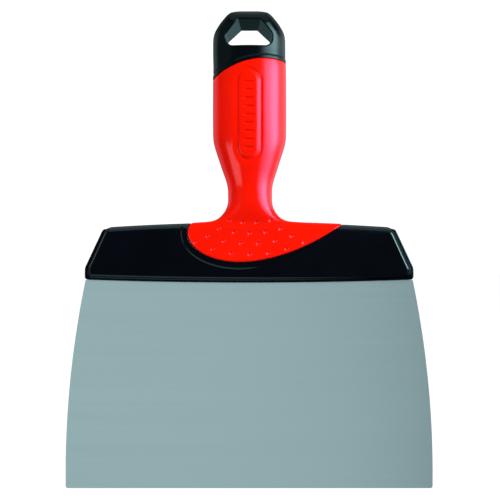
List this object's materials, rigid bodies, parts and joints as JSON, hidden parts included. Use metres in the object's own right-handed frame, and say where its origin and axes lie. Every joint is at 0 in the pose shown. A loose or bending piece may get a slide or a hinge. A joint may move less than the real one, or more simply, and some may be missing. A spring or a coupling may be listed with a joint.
{
  "type": "flexible putty knife",
  "caption": "Wide flexible steel blade clamped in a black backing bar, with a red soft-grip handle, thumb pads, and a black end cap with a hang hole.",
  "frame": {"origin": "middle of the blade's working edge, on the mid-plane of the steel", "axes": "+Z from the working edge up the handle, +X across the blade, -Y towards the front face"},
  "size_m": [0.2, 0.0276, 0.2595],
  "materials": {
    "blade_steel": "fine brushing across the width, light oil sheen",
    "bar_plastic": "satin moulded black plastic",
    "rivet_metal": "plain zinc plated",
    "plate_steel": "plain rolled steel",
    "core_plastic": "plain moulded, hidden under the grip",
    "grip_rubber": "smooth satin soft rubber",
    "cap_plastic": "satin moulded black plastic"
  },
  "bodies": {
    "handle": {"blade_root": "blade_steel", "bar_front": "bar_plastic", "bar_rear": "bar_plastic", "bar_rivets": "rivet_metal", "tang_plate": "plate_steel", "tang_pins": "rivet_metal", "handle_core": "core_plastic", "grip": "grip_rubber", "end_cap": "cap_plastic"},
    "flexing_blade": {"blade": "blade_steel"}
  },
  "joints": [
    {"name": "blade_flex", "type": "hinge", "parent": "handle", "child": "flexing_blade", "pos_m": [0, 0, 0.0952], "axis": [1, 0, 0], "range_deg": [-25, 25], "stiffness_Nm_per_rad": 8}
  ]
}
